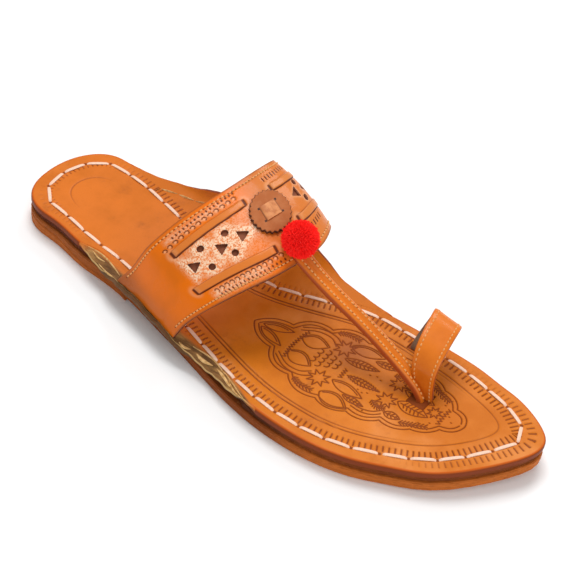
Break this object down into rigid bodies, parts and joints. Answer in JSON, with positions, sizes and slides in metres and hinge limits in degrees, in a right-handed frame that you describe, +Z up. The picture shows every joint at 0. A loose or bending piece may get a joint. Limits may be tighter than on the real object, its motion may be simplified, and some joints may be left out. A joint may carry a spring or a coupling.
{
  "type": "kolhapuri chappal",
  "caption": "Flat leather sandal for the right foot with a punched instep band, a toe strap, a toe loop, side ears, a pinked medallion and a wool pompom.",
  "frame": {"origin": "on the floor below the middle of the shoe's bounding box", "axes": "+Z up, the toe to -Y, the heel to +Y, the big-toe side to +X"},
  "size_m": [0.1, 0.282, 0.073],
  "materials": {
    "insole_leather": "smooth tan leather, polished",
    "dark_leather": "dark dyed leather edge",
    "sole_leather": "firm tan sole leather",
    "raw_leather": "raw flesh side",
    "strap_leather": "glossy orange leather",
    "medallion_leather": "matt brown leather",
    "wool": "soft red wool tufts"
  },
  "bodies": {
    "root": {"insole": "insole_leather", "midsole": "dark_leather", "outsole": "sole_leather", "heel_lift": "sole_leather", "ear_lateral": "raw_leather", "ear_medial": "insole_leather", "upper": "strap_leather", "medallion": "medallion_leather", "pompom": "wool"}
  },
  "joints": []
}
